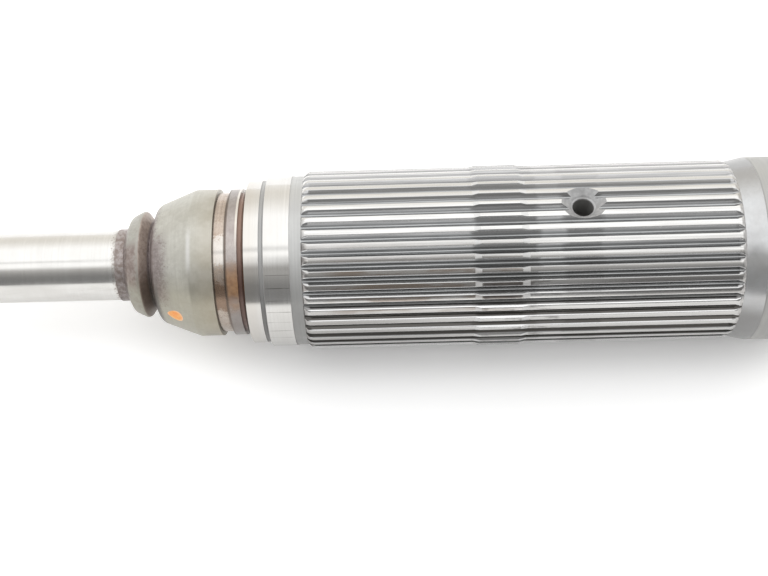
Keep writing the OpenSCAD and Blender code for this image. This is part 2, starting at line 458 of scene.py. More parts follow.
def share(tree, mask, part):
    """A part of a mask, given by a number or by another mask."""
    return sums(tree, "MULTIPLY", mask, part)


def stronger(tree, a, b):
    """The stronger of two masks."""
    return sums(tree, "MAXIMUM", a, b)


def mixed(tree, part, a, b, blend="MIX"):
    """Two colours mixed by a mask."""
    node = add(tree, "Mix", {0: part, 6: a, 7: b}, data_type="RGBA", blend_type=blend)
    return node.outputs[2]


def ranged(tree, value, low, high, to_low=0.0, to_high=1.0):
    """A value eased from one range to another."""
    inputs = {"Value": value, 1: low, 2: high, 3: to_low, 4: to_high}
    return add(tree, "MapRange", inputs, interpolation_type="SMOOTHSTEP").outputs[0]


def eased(tree, mask, to_low, to_high):
    """A mask eased from one value to another."""
    return ranged(tree, mask, 0.0, 1.0, to_low, to_high)


def grey(level, tint=(1.0, 1.0, 1.0)):
    """A colour from a level and a tint."""
    return (level * tint[0], level * tint[1], level * tint[2], 1.0)


def place(tree, effect, **values):
    """Puts a shared effect into a material."""
    return add(tree, "Group", values, node_tree=GROUPS[effect]).outputs


def new_group(name, inputs, outputs):
    """An empty node group with named sockets."""
    tree = bpy.data.node_groups.new(name, "ShaderNodeTree")
    for label, value in inputs.items():
        socket = tree.interface.new_socket(name=label, in_out="INPUT", socket_type="NodeSocketFloat")
        socket.default_value = value
    for label, kind in outputs.items():
        tree.interface.new_socket(name=label, in_out="OUTPUT", socket_type="NodeSocket" + kind)
    return tree, tree.nodes.new("NodeGroupInput").outputs, tree.nodes.new("NodeGroupOutput").inputs


# Grains of each pattern in a millimetre along the bar, across it and upwards
RUST_PATCHES = (0.4, 0.4, 0.4)
RUST_SPECKS = (2.0, 2.0, 2.0)
SCRAPE_PATCHES = (0.12, 0.5, 0.5)
PAINT_CLOUDS = (0.8, 0.8, 0.8)

# Patterns of the bar's skin: grains, detail and roughness, and the levels where a mask starts and is full.
# The lathe leaves lines round the bar, and the skin is cloudy and mottled.
LATHE_PATTERNS = {
    "Lines": ((3.2, 0.03, 0.03), 3.0, 0.7, 0.25, 0.75),
    "Cloud": ((0.16, 0.16, 0.16), 5.0, 0.6, 0.3, 0.7),
    "Mottle": ((0.9, 0.9, 0.9), 4.0, 0.65, 0.36, 0.66),
}
# The hubs that slide on the bar leave streaks, patches and smears along it
SLIDE_PATTERNS = {
    "Streaks": ((0.05, 2.4, 2.4), 4.0, 0.65, 0.32, 0.68),
    "Patches": ((0.07, 0.45, 0.45), 3.0, 0.6, 0.38, 0.62),
    "Smears": ((0.22, 1.1, 1.1), 3.0, 0.6, 0.48, 0.62),
}

# The level of the pattern at which rust starts where none spreads, and how far a full spread lowers it
RUST_LEVEL = 0.78
RUST_DROP = 0.6
SCRAPE_WIDTH = 0.05


def at(section, start, end, *more):
    """A stretch along the bar, measured from the front of a section."""
    front = SPAN[section][0]
    return (front + start, front + end, *more)


# Where marks lie along the bar: section, start and end from its front in millimetres, and a band's blur
JOURNAL_RUST_AT = at("neck", -3.4, 0.6)
JOURNAL_TARNISH_AT = at("neck", -1.4, 0.3)
NECK_CORNER_AT = at("neck", 0.0, 1.4)
COLLAR_SKIN_AT = at("collar_face", 0.7, 1.5)
COLLAR_BLUSH_AT = at("collar_front", 1.4, 2.8)
COLLAR_OLIVE_AT = at("collar_back", 0.0, 0.4)
COLLAR_STAIN_AT = at("collar_back", -0.05, 2.0, 0.3)
NOSE_SHADE_AT = at("nose", -0.9, 3.0, 1.0)
NOSE_FILM_AT = at("taper", -0.2, 1.3)
TAPER_RUST_AT = at("taper", -0.5, 6.8)
TAPER_BLUSH_AT = at("taper", 1.1, 5.3)
HEAD_METAL_AT = at("taper", 2.3, 10.3)
HEAD_BROWN_AT = at("head", -1.3, 5.2)
HEAD_HIGHLIGHT_AT = at("head", -0.9, 0.9, 0.8)
HEAD_SCRATCHES_AT = at("head", 1.2, 5.5, 0.8)
GROOVE_FLOOR_AT = at("wide_groove", 0.05, 3.0, 0.5)
RIB_EDGE_SHADE_AT = at("rib", -0.3, 0.45, 0.25)
RIB_HIGHLIGHT_AT = at("narrow_groove", -0.65, 0.1, 0.25)
LAND_WARMTH_AT = at("front_land", 0.9, 4.9)
RELIEF_SHADOW_AT = at("relief", -0.2, 1.0, 0.2)
LAND_SCRAPES_AT = at("rear_land", -0.2, 6.4, 0.8)
FRONT_ENDS_AT = at("tooth_ends", 0.6, 2.0)
TIP_REFLECTION_AT = at("tooth_ends", 2.9, 56.9, 8.0)
TIP_SHADE_LOW_AT = at("tooth_ends", 4.9, 54.9)
TIP_WEAR_AT = at("raised", -0.4, 19.6)
TIP_SMEARS_AT = at("raised", -0.4, 19.6, 1.5)
CREST_AT = at("raised", 0.2, 10.0, 0.6)
REAR_TIPS_AT = at("rear_teeth", 8.1, 30.1)
REAR_ENDS_AT = at("stop", -0.2, 0.3)
RAMP_EDGE_SHADOW_AT = at("rear_collar", -0.3, 0.5, 0.3)
# The slopes up to the raised band and down from it
RAISED_SLOPES_AT = (at("raised_front", -0.2, 1.7, 0.3), at("raised_rear", -0.3, 1.8, 0.3))
# Stretches of the tooth spaces where no hub slides: start, end and how dull they are
DULL_FLANKS = (
    at("raised_front", -0.8, 16.2, 0.44),
    at("rear_teeth", 8.1, 18.9, 0.38),
    at("rear_teeth", 16.1, 51.1, 0.16),
    at("stop", -1.5, 5.1, 0.3),
)
DULL_BLUR = 1.3

# Where marks lie round the bar, in degrees from the top to the front: start, end and a band's blur
UNDER_FRONT_TURN = (38.0, 76.0)
UNDER_BACK_TURN = (-125.0, -95.0)
NECK_RUST_TURN = (20.0, 75.0)
COLLAR_BLUSH_TURN = (0.0, 66.0, 18.0)
COLLAR_STAIN_TURN = (24.0, 66.0)
NOSE_SHADE_TURN = (30.0, 66.0)
HEAD_BROWN_TURN = (-20.0, 40.0)
HEAD_SCRATCHES_TURN = (94.0, 140.0, 10.0)
HEAD_HIGHLIGHT_TURN = (2.0, 44.0, 14.0)
HEAD_FRONT_TURN = (-4.0, 80.0, 22.0)
HEAD_LOW_TURN = (36.0, 64.0)
GROOVE_HIGHLIGHT_TURN = (7.0, 40.0, 9.0)
GROOVE_LOW_TURN = (44.0, 77.0, 6.0)
GROOVE_TOP_TURN = (-12.0, 12.0)
RIB_ORANGE_TURN = (26.0, 78.0, 22.0)
RIB_TOP_SHADE_TURN = (-34.0, 4.0)
RIB_HIGHLIGHT_TURN = (0.0, 30.0)
NARROW_RUST_TURN = (-10.0, 60.0)
LAND_SCRAPES_TURN = (34.0, 160.0, 14.0)
RELIEF_SHADOW_TURN = (48.0, 72.0)
TIP_WEAR_TURN = (18.0, 60.0, 8.0)
TIP_REFLECTION_TURN = (31.0, 72.0, 8.0)
TIP_SMEARS_TURN = (40.0, 130.0, 14.0)
CREST_TURN = (46.0, 66.0, 4.0)
REAR_TIPS_TURN = (46.0, 67.0, 4.0)
TIP_SHADE_LOW_TURN = (60.0, 74.0)
FRONT_ENDS_TURN = (12.0, 110.0, 14.0)
FLANK_LOW_TURN = (52.0, 72.0)
FLANK_BACK_TURN = (-50.0, -4.0)
FLANK_DULL_TURN = (-22.0, 14.0)
FLANK_HIGHLIGHT_TURN = (54.0, 90.0, 8.0)
RAMP_TOP_SHADE_TURN = (-40.0, 10.0)
RAMP_LOW_SHADE_TURN = (58.0, 82.0)

# Where marks lie out from the axis, in millimetres: start and end
FLANK_FOOT_OUT = (ROOT_R, ROOT_R + 0.7)
FLANK_EDGE_OUT = (TIP_R - 0.3, TIP_R - 0.12)
BORE_DEEP_OUT = (TIP_R - 2.75, TIP_R - 2.25)
BORE_RIM_OUT = (TIP_R - 1.85, TIP_R - 1.6)

# Tones of the steel, its stains, rust and paint, and of painted shade and highlights
# Painted shade: the dark tone for shade under the shaft, in the nose's valley, below the ramp and in the
# tooth spaces
PAINTED_SHADE = (0.055, 0.05, 0.044, 1.0)
RUST_DARK = (0.07, 0.05, 0.041, 1.0)
RUST_LIGHT = (0.19, 0.13, 0.095, 1.0)
GROUND_DARK = grey(0.64, (1.0, 0.985, 0.955))
GROUND_LIGHT = grey(0.7, (1.0, 0.99, 0.965))
GROUND_CLOUD = grey(0.61, (1.0, 0.98, 0.94))
JOURNAL_SCUFFS = grey(0.4, (1.0, 0.96, 0.9))
JOURNAL_TARNISH = grey(0.36, (1.0, 0.92, 0.84))
NECK_DARK = (0.25, 0.205, 0.185, 1.0)
NECK_LIGHT = (0.42, 0.38, 0.37, 1.0)
NECK_MAROON = (0.13, 0.09, 0.078, 1.0)
OLIVE_LIGHT = grey(0.42, (1.0, 0.99, 0.89))
OLIVE_DARK = grey(0.36, (1.0, 0.95, 0.86))
BLUSH_DARK = (0.24, 0.19, 0.17, 1.0)
BLUSH_LIGHT = (0.34, 0.29, 0.265, 1.0)
STAIN_LIGHT = (0.44, 0.365, 0.315, 1.0)
STAIN_DARK = (0.225, 0.172, 0.148, 1.0)
STAIN_MOTTLE = (0.16, 0.115, 0.098, 1.0)
VIOLET_DARK = (0.195, 0.157, 0.153, 1.0)
VIOLET_LIGHT = (0.295, 0.252, 0.246, 1.0)
TAPER_SPECKS = (0.2, 0.155, 0.135, 1.0)
HEAD_DARK = grey(0.46, (1.0, 0.98, 0.87))
HEAD_LIGHT = grey(0.56, (1.0, 0.99, 0.905))
HEAD_LINES = grey(0.4, (1.0, 0.965, 0.85))
HEAD_MOTTLE = grey(0.31, (1.0, 0.95, 0.86))
HEAD_BROWN_DARK = grey(0.37, (1.0, 0.91, 0.72))
HEAD_BROWN_LIGHT = grey(0.48, (1.0, 0.94, 0.81))
HEAD_SCRATCHES = grey(0.2, (1.0, 0.93, 0.82))
HEAD_HIGHLIGHT = grey(0.72)
HEAD_LOW_TINT = (0.98, 0.955, 0.88, 1.0)
GROOVE_LIGHT = grey(0.66, (1.0, 0.965, 0.91))
GROOVE_DARK = grey(0.54, (1.0, 0.93, 0.85))
GROOVE_BROWN_DARK = (0.32, 0.19, 0.11, 1.0)
GROOVE_BROWN_LIGHT = (0.46, 0.315, 0.21, 1.0)
GROOVE_LOW = (0.235, 0.135, 0.078, 1.0)
GROOVE_LINES = (0.23, 0.17, 0.13, 1.0)
GROOVE_CORNER_SHADE = grey(0.1, (1.0, 0.8, 0.66))
RIB_LIGHT = grey(0.46, (1.0, 0.92, 0.87))
RIB_DARK = grey(0.37, (1.0, 0.87, 0.82))
RIB_RUST = (0.25, 0.19, 0.16, 1.0)
RIB_MOTTLE = grey(0.27, (1.0, 0.9, 0.86))
RIB_ORANGE_DARK = (0.35, 0.17, 0.068, 1.0)
RIB_ORANGE_LIGHT = (0.48, 0.265, 0.122, 1.0)
RIB_TOP_SHADE = grey(0.25, (1.0, 0.93, 0.88))
RIB_EDGE_SHADE = (0.11, 0.08, 0.06, 1.0)
RIB_EDGE_HIGHLIGHT = grey(0.8, (1.0, 0.95, 0.86))
NARROW_PALE_TOP = (0.35, 0.225, 0.175, 1.0)
NARROW_PALE_LOW = (0.175, 0.105, 0.085, 1.0)
NARROW_DARK_TOP = (0.178, 0.09, 0.068, 1.0)
NARROW_DARK_LOW = (0.08, 0.039, 0.032, 1.0)
LAND_WARMTH = grey(0.6, (1.0, 0.94, 0.86))
LAND_SCRAPES = grey(0.13, (1.0, 0.93, 0.86))
BAND_DARK = grey(0.46, (1.0, 1.005, 0.985))
BAND_LIGHT = grey(0.55, (1.0, 1.005, 0.985))
BAND_CLOUD = grey(0.44)
RELIEF_SHADOW = grey(0.18)
TIP_DARK = grey(0.6, (1.0, 0.99, 0.97))
TIP_LIGHT = grey(0.72, (1.0, 0.995, 0.975))
TIP_WORN_LIGHT = grey(0.4, (1.0, 0.97, 0.94))
TIP_WORN_DARK = grey(0.33, (1.0, 0.95, 0.9))
TIP_REFLECTION_TINT = (0.33, 0.262, 0.212, 1.0)
TIP_SMEARS = grey(0.13, (1.0, 0.93, 0.88))
TIP_DULL_AND_SHADE = grey(0.12, (1.0, 0.88, 0.84))
TIP_HAZE = grey(0.68)
FLANK_DARK = grey(0.46)
FLANK_LIGHT = grey(0.58)
FLANK_DULL = grey(0.13, (1.0, 0.98, 0.96))
FLANK_EDGE_HIGHLIGHT = grey(0.85)
ROOT_SHADE_DARK = grey(0.3, (0.97, 0.99, 1.0))
ROOT_SHADE_LIGHT = grey(0.42, (0.97, 0.99, 1.0))
RAMP_DARK = grey(0.5)
RAMP_LIGHT = grey(0.56, (0.985, 1.0, 1.01))
RAMP_MOTTLE = grey(0.42)
RAMP_TOP_SHADE = grey(0.3)
COLLAR_DARK = grey(0.39, (1.0, 0.99, 0.95))
COLLAR_LIGHT = grey(0.47, (1.0, 0.99, 0.95))
COLLAR_CLOUD = grey(0.4)
RAMP_EDGE_SHADOW = grey(0.2)
BORE_DARK = grey(0.34)
BORE_LIGHT = grey(0.45)
BORE_RIM = grey(0.6)
BORE_DEEP = grey(0.3, (1.0, 0.99, 0.96))
PAINT_DEEP = (1.0, 0.34, 0.06, 1.0)
PAINT_LIGHT = (1.0, 0.48, 0.13, 1.0)
PAINT_THIN = (0.97, 0.6, 0.36, 1.0)


def shaft_place_group():
    """Where a point is on the shaft: along it and out from its axis, degrees round it, and underside."""
    outputs = {"Along": "Float", "Turn": "Float", "Out": "Float", "Under": "Float"}
    tree, _, out = new_group("shaft_place", {}, outputs)
    point = add(tree, "TexCoord").outputs["Object"]
    x, y, z = add(tree, "SeparateXYZ", {0: point}).outputs
    feed(tree, out["Along"], sums(tree, "MULTIPLY", x, 1 / MM))
    round_axis = sums(tree, "ARCTAN2", sums(tree, "MULTIPLY", y, -1.0), z)
    turn = sums(tree, "DEGREES", round_axis)
    feed(tree, out["Turn"], turn)
    under_front = ranged(tree, turn, *UNDER_FRONT_TURN)
    under_back = ranged(tree, turn, *UNDER_BACK_TURN, 1.0, 0.0)
    feed(tree, out["Under"], stronger(tree, under_front, under_back))
    squares = sums(tree, "ADD", sums(tree, "MULTIPLY", y, y), sums(tree, "MULTIPLY", z, z))
    feed(tree, out["Out"], sums(tree, "MULTIPLY", sums(tree, "SQRT", squares), 1 / MM))
    return tree


def band_group():
    """A soft-edged band between two values."""
    inputs = {"Value": 0.0, "From": 0.0, "To": 1.0, "Blur": 0.1}
    tree, given, out = new_group("soft_band", inputs, {"Mask": "Float"})
    rise_end = sums(tree, "ADD", given["From"], given["Blur"])
    fall_start = sums(tree, "SUBTRACT", given["To"], given["Blur"])
    rise = ranged(tree, given["Value"], given["From"], rise_end)
    fall = ranged(tree, given["Value"], fall_start, given["To"], 1.0, 0.0)
    feed(tree, out["Mask"], share(tree, rise, fall))
    return tree


def grain_noise(tree, grains, detail, roughness=0.6):
    """A pattern on the piece's own coordinates, with its grains in a millimetre of each axis."""
    point = add(tree, "TexCoord").outputs["Object"]
    size = tuple(count / MM for count in grains)
    stretched = add(tree, "VectorMath", {0: point, 1: size}, operation="MULTIPLY").outputs[0]
    inputs = {"Vector": stretched, "Scale": 1.0, "Detail": detail, "Roughness": roughness}
    return add(tree, "TexNoise", inputs).outputs["Fac"]


def rust_group():
    """Rust from a few specks to a full coat, in browns."""
    inputs = {"Spread": 0.3, "Softness": 0.12, "Speckle": 0.5}
    tree, given, out = new_group("rust", inputs, {"Mask": "Float", "Colour": "Color"})
    coarse = grain_noise(tree, RUST_PATCHES, 3.0)
    fine = grain_noise(tree, RUST_SPECKS, 4.0, 0.7)
    coarse_part = share(tree, coarse, sums(tree, "SUBTRACT", 1.0, given["Speckle"]))
    fine_part = share(tree, fine, given["Speckle"])
    both = sums(tree, "ADD", coarse_part, fine_part)
    edge = sums(tree, "SUBTRACT", RUST_LEVEL, share(tree, given["Spread"], RUST_DROP))
    full = sums(tree, "ADD", edge, given["Softness"])
    feed(tree, out["Mask"], ranged(tree, both, edge, full))
    feed(tree, out["Colour"], mixed(tree, ranged(tree, fine, 0.35, 0.7), RUST_DARK, RUST_LIGHT))
    return tree


def pattern_group(name, patterns):
    """Patterns of the bar's skin as masks."""
    tree, _, out = new_group(name, {}, dict.fromkeys(patterns, "Float"))
    for label, (grains, detail, roughness, low, high) in patterns.items():
        noise = grain_noise(tree, grains, detail, roughness)
        feed(tree, out[label], ranged(tree, noise, low, high))
    return tree


def pitch_lines_group():
    """Thin lines along the bar, one to each tooth, where the hub's teeth scraped it."""
    tree, given, out = new_group("pitch_lines", {"Width": SCRAPE_WIDTH}, {"Mask": "Float"})
    turn = sums(tree, "SUBTRACT", place(tree, "place")["Turn"], SPACE_TURN)
    teeth = sums(tree, "MULTIPLY", turn, TEETH / 360)
    off = sums(tree, "ABSOLUTE", sums(tree, "SUBTRACT", sums(tree, "FRACT", teeth), 0.5))
    line = ranged(tree, off, 0.0, given["Width"], 1.0, 0.0)
    patchy = ranged(tree, grain_noise(tree, SCRAPE_PATCHES, 3.0), 0.4, 0.6, 0.3, 1.0)
    feed(tree, out["Mask"], share(tree, line, patchy))
    return tree


GROUPS = {}
GROUPS["place"] = shaft_place_group()
GROUPS["band"] = band_group()
GROUPS["rust"] = rust_group()
GROUPS["lathe"] = pattern_group("lathe_lines", LATHE_PATTERNS)
GROUPS["slide"] = pattern_group("slide_marks", SLIDE_PATTERNS)
GROUPS["pitch"] = pitch_lines_group()


def empty_material(name):
    """A material without nodes."""
    material = bpy.data.materials.new(name)
    material.use_nodes = True
    material.node_tree.nodes.clear()
    return material, material.node_tree


def new_material(name, metallic=1.0, roughness=0.3):
    """A material with its shader."""
    material, tree = empty_material(name)
    shader = add(tree, "BsdfPrincipled", {"Metallic": metallic, "Roughness": roughness})
    add(tree, "OutputMaterial", {"Surface": shader.outputs[0]})
    return material, tree, shader.inputs


def bump(tree, height, depth):
    """A normal from a height, with the depth of its relief in millimetres."""
    return add(tree, "Bump", {"Height": height, "Distance": depth * MM, "Strength": 1.0}).outputs[0]


def band(tree, value, start, end, blur):
    """A soft-edged band of a value."""
    return place(tree, "band", Value=value, From=start, To=end, Blur=blur)["Mask"]


def patch(tree, spot, along, turn):
    """A soft-edged patch of the bar, where a band along it meets a band round it."""
    return share(tree, band(tree, spot["Along"], *along), band(tree, spot["Turn"], *turn))


def wander(tree, value, noise, reach):
    """A value that strays to both sides with a noise, so that the edge of a band isn't straight."""
    return sums(tree, "ADD", value, share(tree, sums(tree, "SUBTRACT", noise, 0.5), 2 * reach))


def underside_shade(tree, colour, spot, part):
    """A colour with painted shade that darkens the underside of the shaft."""
    return mixed(tree, share(tree, spot["Under"], part), colour, PAINTED_SHADE)


def ground_steel(tree, lathe):
    """The colour of a ground surface."""
    steel = mixed(tree, lathe["Lines"], GROUND_DARK, GROUND_LIGHT)
    return mixed(tree, share(tree, lathe["Cloud"], 0.4), steel, GROUND_CLOUD)


def journal_steel():
    """The ground pilot journal: bright, with fine lines round it, and specks of rust beside the neck."""
    material, tree, shader = new_material("journal_steel")
    spot = place(tree, "place")
    lathe = place(tree, "lathe")
    slide = place(tree, "slide")
    # Painted shade darkens the underside
    steel = underside_shade(tree, ground_steel(tree, lathe), spot, 0.14)
    scuffed = share(tree, spot["Under"], slide["Patches"])
    steel = mixed(tree, share(tree, scuffed, 0.22), steel, JOURNAL_SCUFFS)
    near_neck = ranged(tree, spot["Along"], *JOURNAL_RUST_AT, 0.0, 0.66)
    rust = place(tree, "rust", Spread=near_neck, Softness=0.3, Speckle=0.9)
    tarnish = ranged(tree, spot["Along"], *JOURNAL_TARNISH_AT, 0.0, 0.35)
    steel = mixed(tree, tarnish, steel, JOURNAL_TARNISH)
    feed(tree, shader["Base Color"], mixed(tree, rust["Mask"], steel, rust["Colour"]))
    feed(tree, shader["Metallic"], eased(tree, rust["Mask"], 1.0, 0.4))
    shine = eased(tree, lathe["Lines"], 0.11, 0.16)
    shine = sums(tree, "ADD", shine, share(tree, slide["Patches"], 0.07))
    feed(tree, shader["Roughness"], sums(tree, "ADD", shine, share(tree, tarnish, 0.4)))
    feed(tree, shader["Normal"], bump(tree, lathe["Lines"], 0.0015))
    return material


def land_steel():
    """The ground bearing lands, scraped lengthways by the teeth of the hubs pushed over them."""
    material, tree, shader = new_material("land_steel")
    spot = place(tree, "place")
    lathe = place(tree, "lathe")
    scrape = place(tree, "pitch", Width=SCRAPE_WIDTH)["Mask"]
    dark = share(tree, patch(tree, spot, LAND_SCRAPES_AT, LAND_SCRAPES_TURN), scrape)
    warm = ranged(tree, spot["Along"], *LAND_WARMTH_AT, 0.5, 0.0)
    steel = mixed(tree, warm, ground_steel(tree, lathe), LAND_WARMTH)
    # Painted shade darkens the underside
    steel = underside_shade(tree, steel, spot, 0.25)
    feed(tree, shader["Base Color"], mixed(tree, share(tree, dark, 0.75), steel, LAND_SCRAPES))
    feed(tree, shader["Roughness"], eased(tree, lathe["Lines"], 0.1, 0.14))
    feed(tree, shader["Normal"], bump(tree, lathe["Lines"], 0.0012))
    return material


def neck_skin(tree, spot, lathe, rust):
    """The rough brown-grey skin of the neck, with maroon rust in it."""
    skin = mixed(tree, lathe["Mottle"], NECK_DARK, NECK_LIGHT)
    skin = mixed(tree, share(tree, rust["Mask"], 0.7), skin, NECK_MAROON)
    # Painted shade darkens the underside
    return underside_shade(tree, skin, spot, 0.33)


def neck_rust():
    """The neck beside the journal: rough, mottled, and darker with rust on the front of the shaft."""
    material, tree, shader = new_material("neck_rust", 0.45)
    spot = place(tree, "place")
    lathe = place(tree, "lathe")
    in_corner = ranged(tree, spot["Along"], *NECK_CORNER_AT, 0.1, 0.0)
    spread = sums(tree, "ADD", ranged(tree, spot["Turn"], *NECK_RUST_TURN, 0.38, 0.58), in_corner)
    rust = place(tree, "rust", Spread=spread, Softness=0.3, Speckle=0.75)
    feed(tree, shader["Base Color"], neck_skin(tree, spot, lathe, rust))
    feed(tree, shader["Roughness"], eased(tree, rust["Mask"], 0.36, 0.6))
    feed(tree, shader["Normal"], bump(tree, lathe["Mottle"], 0.007))
    return material


def hardened_steel(tree, spot, lathe, slide):
    """The olive grey of the hardened head, browner and scratched behind, with a painted highlight line
    along part of its shoulder.
    """
    steel = mixed(tree, lathe["Cloud"], HEAD_DARK, HEAD_LIGHT)
    steel = mixed(tree, share(tree, lathe["Lines"], 0.4), steel, HEAD_LINES)
    steel = mixed(tree, share(tree, lathe["Mottle"], 0.22), steel, HEAD_MOTTLE)
    behind = ranged(tree, spot["Along"], *HEAD_BROWN_AT)
    brownish = share(tree, behind, ranged(tree, spot["Turn"], *HEAD_BROWN_TURN, 0.55, 0.85))
    brown = mixed(tree, lathe["Cloud"], HEAD_BROWN_DARK, HEAD_BROWN_LIGHT)
    steel = mixed(tree, brownish, steel, brown)
    scratched = patch(tree, spot, HEAD_SCRATCHES_AT, HEAD_SCRATCHES_TURN)
    scratched = share(tree, scratched, slide["Streaks"])
    steel = mixed(tree, share(tree, scratched, 0.6), steel, HEAD_SCRATCHES)
    # Painted highlight on the shoulder's rounded edge, on the upper front
    highlight_line = patch(tree, spot, HEAD_HIGHLIGHT_AT, HEAD_HIGHLIGHT_TURN)
    return mixed(tree, share(tree, highlight_line, 0.45), steel, HEAD_HIGHLIGHT)


def olive_collar(tree, turn, loose, lathe):
    """The olive skin of the thrust collar, with a brown blush on its front."""
    olive = mixed(tree, lathe["Mottle"], OLIVE_LIGHT, OLIVE_DARK)
    blush = ranged(tree, loose, *COLLAR_BLUSH_AT, 1.0, 0.4)
    blush = share(tree, band(tree, turn, *COLLAR_BLUSH_TURN), blush)
    return mixed(tree, blush, olive, mixed(tree, lathe["Mottle"], BLUSH_DARK, BLUSH_LIGHT))


def brown_stain(tree, turn, lathe):
    """The brown stain on the back of the thrust collar, darker below."""
    brown = mixed(tree, ranged(tree, turn, *COLLAR_STAIN_TURN), STAIN_LIGHT, STAIN_DARK)
    return mixed(tree, share(tree, lathe["Mottle"], 0.5), brown, STAIN_MOTTLE)


def head_steel():
    """The hardened collar and tapered head: olive grey, stained behind the collar, rusty at the nose."""
    material, tree, shader = new_material("head_steel", 0.35)
    spot = place(tree, "place")
    lathe = place(tree, "lathe")
    slide = place(tree, "slide")
    along = spot["Along"]
    turn = spot["Turn"]
    loose = wander(tree, along, lathe["Mottle"], 0.5)
    steel = hardened_steel(tree, spot, lathe, slide)
    in_front = band(tree, turn, *HEAD_FRONT_TURN)
    specks = sums(tree, "ADD", ranged(tree, along, *TAPER_RUST_AT, 0.55, 0.16), share(tree, in_front, 0.16))
    rust = place(tree, "rust", Spread=specks, Softness=0.2, Speckle=0.85)
    steel = mixed(tree, share(tree, rust["Mask"], 0.7), steel, TAPER_SPECKS)
    pink = share(tree, in_front, ranged(tree, loose, *TAPER_BLUSH_AT, 0.8, 0.0))
    film = stronger(tree, ranged(tree, loose, *NOSE_FILM_AT, 0.9, 0.0), pink)
    steel = mixed(tree, film, steel, mixed(tree, lathe["Mottle"], VIOLET_DARK, VIOLET_LIGHT))
    on_collar = ranged(tree, along, *COLLAR_OLIVE_AT, 1.0, 0.0)
    steel = mixed(tree, on_collar, steel, olive_collar(tree, turn, loose, lathe))
    steel = mixed(tree, band(tree, along, *COLLAR_STAIN_AT), steel, brown_stain(tree, turn, lathe))
    # Painted shade in the valley between the collar and the nose, deeper below
    shaded = ranged(tree, turn, *NOSE_SHADE_TURN, 0.0, 0.7)
    steel = mixed(tree, share(tree, band(tree, along, *NOSE_SHADE_AT), shaded), steel, PAINTED_SHADE)
    steel = mixed(tree, ranged(tree, turn, *HEAD_LOW_TURN), steel, HEAD_LOW_TINT, "MULTIPLY")
    # Painted shade darkens the underside
    steel = underside_shade(tree, steel, spot, 0.22)
    at_neck = ranged(tree, loose, *COLLAR_SKIN_AT, 1.0, 0.0)
    feed(tree, shader["Base Color"], mixed(tree, at_neck, steel, neck_skin(tree, spot, lathe, rust)))
    feed(tree, shader["Metallic"], ranged(tree, along, *HEAD_METAL_AT, 0.38, 0.58))
    skin = eased(tree, lathe["Cloud"], 0.36, 0.44)
    smoother = ranged(tree, along, *HEAD_BROWN_AT, 0.0, 0.06)
    feed(tree, shader["Roughness"], sums(tree, "SUBTRACT", skin, smoother))
    feed(tree, shader["Normal"], bump(tree, lathe["Lines"], 0.006))
    return material


def groove_rust():
    """The narrow groove, full of dark red-brown rust."""
    material, tree, shader = new_material("groove_rust", 0.3, 0.5)
    spot = place(tree, "place")
    rust = place(tree, "rust", Spread=0.5, Softness=0.4, Speckle=0.6)
    thick = ranged(tree, spot["Turn"], *NARROW_RUST_TURN)
    pale = mixed(tree, thick, NARROW_PALE_TOP, NARROW_PALE_LOW)
    dark = mixed(tree, thick, NARROW_DARK_TOP, NARROW_DARK_LOW)
    feed(tree, shader["Base Color"], mixed(tree, rust["Mask"], pale, dark))
    feed(tree, shader["Roughness"], eased(tree, rust["Mask"], 0.3, 0.55))
    feed(tree, shader["Normal"], bump(tree, rust["Mask"], 0.02))
    return material


def groove_steel():
    """The polished floor of the wide groove, stained brown except in a lighter band of painted highlight,
    with painted shade in its corners.
    """
    material, tree, shader = new_material("groove_steel")
    lathe = place(tree, "lathe")
    spot = place(tree, "place")
    floor = band(tree, spot["Along"], *GROOVE_FLOOR_AT)
    steel = mixed(tree, lathe["Cloud"], GROOVE_LIGHT, GROOVE_DARK)
    loose = wander(tree, spot["Turn"], lathe["Mottle"], 3.5)
    # Painted highlight: the stain is kept off a lighter band where the highlight falls
    highlight_band = band(tree, loose, *GROOVE_HIGHLIGHT_TURN)
    rust = place(tree, "rust", Spread=0.62, Softness=0.5, Speckle=0.3)
    stained = share(tree, eased(tree, rust["Mask"], 0.45, 1.0), eased(tree, highlight_band, 1.0, 0.1))
    brown = mixed(tree, lathe["Mottle"], GROOVE_BROWN_DARK, GROOVE_BROWN_LIGHT)
    steel = mixed(tree, stained, steel, brown)
    low = band(tree, loose, *GROOVE_LOW_TURN)
    steel = mixed(tree, share(tree, low, 0.75), steel, GROOVE_LOW)
    above = share(tree, ranged(tree, loose, *GROOVE_TOP_TURN, 0.6, 0.0), lathe["Lines"])
    steel = mixed(tree, above, steel, GROOVE_LINES)
    # Painted shade darkens the underside
    steel = underside_shade(tree, steel, spot, 0.33)
    # Painted shade in the corners of the groove
    feed(tree, shader["Base Color"], mixed(tree, floor, GROOVE_CORNER_SHADE, steel))
    feed(tree, shader["Metallic"], eased(tree, stained, 1.0, 0.45))
    feed(tree, shader["Roughness"], eased(tree, stained, 0.12, 0.3))
    feed(tree, shader["Normal"], bump(tree, lathe["Lines"], 0.003))
    return material


